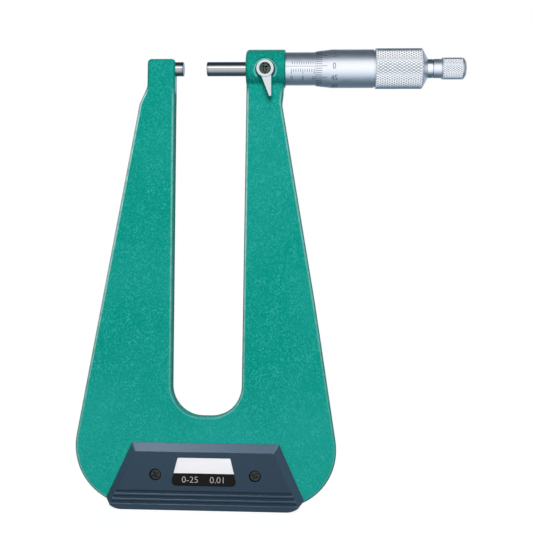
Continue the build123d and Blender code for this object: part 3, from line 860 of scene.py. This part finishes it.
def screw(radius, height, dome, recess, turn, shank_r, shank_len):
    """A screw along +Z with its seat at 0, a domed head and a cross recess in it."""
    bm = bmesh.new()
    profile = [(0.0, -shank_len), (shank_r, -shank_len), (shank_r, 0.0)]
    profile += [(radius - HEAD_BREAK, 0.0), (radius, HEAD_BREAK)]
    for k in range(DOME_STEPS + 1):
        swing = k / DOME_STEPS * math.pi / 2
        profile.append(((radius - dome) + dome * math.cos(swing), height - dome * (1 - math.sin(swing))))
    profile.append((0.0, height + HEAD_CROWN))
    angles = [math.tau * i / SCREW_SEGMENTS for i in range(SCREW_SEGMENTS)]
    rows = [[bm.verts.new((r * math.cos(a), r * math.sin(a), z)) for a in angles] for r, z in profile]
    for first, second in zip(rows, rows[1:]):
        join_rings(bm, first, second)
    bmesh.ops.remove_doubles(bm, verts=bm.verts, dist=SCREW_WELD)
    cutter = bmesh.new()
    width, length, depth = recess
    half_w, half_l = RECESS_TAPER / 2 * width, RECESS_TAPER / 2 * length
    low = [(-half_l, -half_w), (half_l, -half_w), (half_l, half_w), (-half_l, half_w)]
    high = [(x / RECESS_TAPER, y / RECESS_TAPER) for x, y in low]
    for arm in range(2):
        spin = Matrix.Rotation(turn + arm * math.pi / 2, 3, "Z")
        verts = [cutter.verts.new(spin @ Vector((x, y, height - depth))) for x, y in low]
        verts += [cutter.verts.new(spin @ Vector((x, y, height + CUT_ABOVE))) for x, y in high]
        cutter.faces.new(verts[3::-1])
        cutter.faces.new(verts[4:])
        for a in range(4):
            b = (a + 1) % 4
            cutter.faces.new((verts[a], verts[b], verts[b + 4], verts[a + 4]))
    return carved(bm, cutter)


def placed(bm, shape, place, turn_x):
    """Moves a screw into a bmesh, turned about X."""
    matrix = Matrix.Translation(place) @ Matrix.Rotation(turn_x, 4, "X")
    index = {vert: bm.verts.new(matrix @ vert.co) for vert in shape.verts}
    for face in shape.faces:
        bm.faces.new([index[vert] for vert in face.verts])
    shape.free()


COVER_HEAD_H = 1.6 * MM
COVER_DOME = 0.5 * MM
COVER_RECESS = (0.75 * MM, 3.0 * MM, 1.1 * MM)
COVER_SHANK = (1.5 * MM, 6 * MM)
COVER_TURNS = (0.5, 1.1)
LEVER_HEAD_H = 0.8 * MM
LEVER_DOME = 0.35 * MM
LEVER_RECESS = (0.75 * MM, 3.1 * MM, 0.7 * MM)
LEVER_SHANK_R = 1.2 * MM
LEVER_TURN = 0.72


def cover_screws(node, side):
    """The two screws of one cover; side is -1 in front, 1 behind."""
    low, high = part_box(node)
    seat_y = (low.y if side < 0 else high.y) - side * COVER_HEAD_H
    head_r = (high.z - low.z) / 2
    height = (low.z + high.z) / 2
    bm = bmesh.new()
    for x, turn in zip((low.x + head_r, high.x - head_r), COVER_TURNS):
        shape = screw(head_r, COVER_HEAD_H, COVER_DOME, COVER_RECESS, turn, *COVER_SHANK)
        placed(bm, shape, Vector((x, seat_y, height)), math.pi / 2 if side < 0 else -math.pi / 2)
    name = "front_cover_screws" if side < 0 else "back_cover_screws"
    piece_from(bm, name, "frame", "black_screws", materials["black_screws"], [node])


def lever_screw():
    low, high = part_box("lever_screw")
    head_r = (high.x - low.x) / 2
    centre = (low + high) / 2
    bm = bmesh.new()
    seat_y = low.y + LEVER_HEAD_H
    shank = (LEVER_SHANK_R, high.y - seat_y)
    shape = screw(head_r, LEVER_HEAD_H, LEVER_DOME, LEVER_RECESS, LEVER_TURN, *shank)
    placed(bm, shape, Vector((centre.x, seat_y, centre.z)), math.pi / 2)
    piece_from(bm, "lever_cross_screw", "clamp", "black_screws", olive_glint_black, ["lever_screw"])


cover_screws("front_pad_screws", -1)
cover_screws("back_pad_screws", 1)
lever_screw()

# Label: white over black, with plain figures on the black strip. A figure's offset is in
# millimetres from the label's middle. Flat figures need no rows, so one is a metre high
LABEL_SPLIT = 0.55
LABEL_WELD = 1e-6
LABEL_FIGURES = (("0-25", -5.9), ("0.01", 6.0))
LABEL_FIGURE_H = 2.6 * MM
LABEL_SQUEEZE = 1.05
LABEL_WEIGHT = -0.012
LABEL_ROW = 1.0


def label():
    low, high = label_low, label_high
    bm = bmesh.new()
    bm.from_mesh(nodes["label_plate"].data)
    bmesh.ops.remove_doubles(bm, verts=bm.verts, dist=LABEL_WELD)
    split_z = high.z + (low.z - high.z) * LABEL_SPLIT
    everything = bm.verts[:] + bm.edges[:] + bm.faces[:]
    bmesh.ops.bisect_plane(bm, geom=everything, plane_co=(0, 0, split_z), plane_no=(0, 0, 1))
    for face in bm.faces:
        face.material_index = 1 if face.calc_center_median().z < split_z else 0
    piece_from(bm, "label_foil", "frame", "label_print", label_white, ["label_plate"], label_black)
    figures = bmesh.new()
    middle_z = (split_z + low.z) / 2

    def place(u, v, w):
        return Vector((u, low.y - MARK_RISE - w, middle_z + v))

    centre = (low.x + high.x) / 2
    for text, offset in LABEL_FIGURES:
        flat = flat_text(text, LABEL_FIGURE_H, LABEL_SQUEEZE, LABEL_WEIGHT)
        for vert in flat.verts:
            vert.co.x += centre + offset * MM
        wrapped(figures, flat, place, MARK_THICK, LABEL_ROW)
    piece_from(figures, "label_figures", "frame", "label_print", label_ink)


label()

# CAD nodes that show as they are take their slot's material; the ratchet's body takes turned chrome, and a
# slot with no material here takes the label's white
for subpart in frame["record"]["subparts"]:
    node = nodes[subpart["node"]]
    material = materials.get(subpart["material_slot"], label_white)
    node.data.materials.clear()
    node.data.materials.append(turned_chrome if subpart["node"] == "ratchet_body" else material)

# World: white to the camera, a plain level on matt surfaces, and for gloss a studio whose
# light and dark walls go round the measuring axis, with dark walls at its two ends.
# Angle 0 is in front, 90 overhead
MATT_LEVEL = 0.12
GLOSS_STRENGTH = 1.4
STUDIO = [
    (-180, 0.5), (-155, 0.25), (-140, 0.12), (-105, 0.08), (-80, 0.14), (-64, 0.36), (-50, 0.7),
    (-30, 0.84), (-20, 1.0), (36, 1.0), (46, 0.3), (54, 0.07), (110, 0.06), (128, 0.14),
    (146, 0.5), (180, 0.5),
]
END_WALLS = 0.15
END_WALL_SPAN = (0.82, 0.92)
WALL_BLUE = 0.36


def grey(level):
    return (level, level, level, 1)


def shade(level):
    """The studio's darker walls are a little blue."""
    tint = WALL_BLUE * (1 - level)
    return (level * (1 - tint), level, min(1.0, level * (1 + tint)), 1)


def studio_world():
    world = bpy.data.worlds.new("studio")
    bpy.context.scene.world = world
    world.use_nodes = True
    world.cycles.sampling_method = "NONE"
    tree = world.node_tree
    tree.nodes.clear()

    def background(colour, strength=1.0):
        return add_node(tree, "ShaderNodeBackground", {"Color": colour, "Strength": strength}).outputs[0]

    def choose(factor, first, second):
        return add_node(tree, "ShaderNodeMixShader", {0: factor, 1: first, 2: second}).outputs[0]

    def remap(value, span):
        values = {"Value": value, "From Min": span[0], "From Max": span[1]}
        return add_node(tree, "ShaderNodeMapRange", values).outputs[0]

    coords = add_node(tree, "ShaderNodeTexCoord")
    x, y, z = add_node(tree, "ShaderNodeSeparateXYZ", {0: coords.outputs["Generated"]}).outputs
    forward = add_node(tree, "ShaderNodeMath", {0: y, 1: -1}, operation="MULTIPLY").outputs[0]
    angle = add_node(tree, "ShaderNodeMath", {0: z, 1: forward}, operation="ARCTAN2").outputs[0]
    ramp = add_node(tree, "ShaderNodeValToRGB", {0: remap(angle, (-math.pi, math.pi))})
    stops = ramp.color_ramp.elements
    for k, (degrees, level) in enumerate(STUDIO):
        spot = (degrees + 180) / 360
        stop = stops.new(spot) if 0 < k < len(STUDIO) - 1 else stops[0 if k == 0 else -1]
        stop.position = spot
        stop.color = shade(level)
    aside = add_node(tree, "ShaderNodeMath", {0: x}, operation="ABSOLUTE").outputs[0]
    walls = background(ramp.outputs[0], GLOSS_STRENGTH)
    mirrored = choose(remap(aside, END_WALL_SPAN), walls, background(grey(END_WALLS)))
    path = add_node(tree, "ShaderNodeLightPath").outputs
    lit = choose(path["Is Glossy Ray"], background(grey(MATT_LEVEL)), mirrored)
    seen = choose(path["Is Camera Ray"], lit, background(grey(1.0)))
    add_node(tree, "ShaderNodeOutputWorld", {"Surface": seen})


studio_world()


def lamp(name, place, aim, size, power, receivers=(), height=None):
    """A lamp, square without a height. With receivers it lights only those, and otherwise
    gloss doesn't mirror it."""
    light = bpy.data.lights.new(name, "AREA")
    light.shape = "RECTANGLE"
    light.size = size
    light.size_y = height or size
    light.energy = power
    holder = bpy.data.objects.new(name, light)
    holder.location = place
    holder.rotation_euler = (aim - place).to_track_quat("-Z", "Y").to_euler()
    bpy.context.scene.collection.objects.link(holder)
    if receivers:
        group = bpy.data.collections.new(name + "_receivers")
        for receiver in receivers:
            group.objects.link(receiver)
        holder.light_linking.receiver_collection = group
    else:
        holder.visible_glossy = False


# Lamps. The strip shows only in the measuring pins, and each cover has two lamps of its own,
# one near above it for its upper slope and one far aside for its right slope
PART_CENTRE = Vector((0.03, 0, -0.08))
PINS = ("anvil", "anvil_tip", "spindle", "spindle_tip")

lamp("key_lamp", Vector((0.12, -1.2, 0.33)), PART_CENTRE, size=0.5, power=14.9)
lamp("back_lamp", Vector((0.12, 1.2, 0.2)), PART_CENTRE, size=0.5, power=13.0)
lamp(
    "strip_lamp", Vector((0.02, -0.94, 0.3)), Vector((0.02, 0, 0)), size=1.2, height=0.28, power=2.4,
    receivers=[nodes[name] for name in PINS],
)
for side, cover in ((-1, "front_pad"), (1, "back_pad")):
    near = Vector((-0.025, 0.036 * side, -0.06))
    near_aim = Vector((0.0, 0.008 * side, -0.168))
    lamp(cover + "_lamp", near, near_aim, size=0.03, power=0.26, receivers=[nodes[cover]])
    far = Vector((0.25, 0.065 * side, 0.35))
    far_aim = Vector((0.012, 0.01 * side, -0.18))
    lamp(cover + "_side_lamp", far, far_aim, size=0.2, power=6.0, receivers=[nodes[cover]])

# Floor: pale near the part, where it keeps the shadow, and white further out
FLOOR_GLOW = 0.86
FLOOR_MATT = 0.3
FLOOR_R = 2.0
FLOOR_NEAR = (0.08, 0.25)


def floor():
    bm = bmesh.new()
    bmesh.ops.create_circle(bm, cap_ends=True, segments=64, radius=FLOOR_R)
    mesh = bpy.data.meshes.new("floor")
    bm.to_mesh(mesh)
    bm.free()
    ground = bpy.data.objects.new("floor", mesh)
    ground.location = (0, 0, cad_box[0].z)
    bpy.context.scene.collection.objects.link(ground)
    material = bpy.data.materials.new("floor")
    material.use_nodes = True
    tree = material.node_tree
    tree.nodes.clear()
    matt = add_node(tree, "ShaderNodeBsdfDiffuse", {"Color": grey(FLOOR_MATT)}).outputs[0]
    glow = add_node(tree, "ShaderNodeEmission", {"Strength": FLOOR_GLOW}).outputs[0]
    near = add_node(tree, "ShaderNodeAddShader", {0: matt, 1: glow}).outputs[0]
    white = add_node(tree, "ShaderNodeEmission").outputs[0]
    coords = add_node(tree, "ShaderNodeTexCoord").outputs["Object"]
    reach = add_node(tree, "ShaderNodeVectorMath", {0: coords}, operation="LENGTH").outputs["Value"]
    span = {"Value": reach, "From Min": FLOOR_NEAR[0], "From Max": FLOOR_NEAR[1]}
    fade = add_node(tree, "ShaderNodeMapRange", span).outputs[0]
    both = add_node(tree, "ShaderNodeMixShader", {0: fade, 1: near, 2: white}).outputs[0]
    add_node(tree, "ShaderNodeOutputMaterial", {"Surface": both})
    mesh.materials.append(material)
    ground.visible_diffuse = False
    ground.visible_glossy = False


floor()

# Camera
camera_data = bpy.data.cameras.new("photo_camera")
camera_data.sensor_width = SENSOR
camera_data.lens = CAMERA_FOCAL_PX / PHOTO_PX * SENSOR
camera_data.clip_start = CAMERA_CLIP_START
camera = bpy.data.objects.new("photo_camera", camera_data)
yaw, pitch, roll = (math.radians(turn) for turn in CAMERA_TURN)
camera.matrix_world = (
    Matrix.Translation(CAMERA_PLACE)
    @ Matrix.Rotation(yaw, 4, "Z")
    @ Matrix.Rotation(pitch, 4, "X")
    @ Matrix.Rotation(roll, 4, "Z")
)
bpy.context.scene.collection.objects.link(camera)
bpy.context.scene.camera = camera
bpy.context.scene.view_settings.view_transform = "Standard"
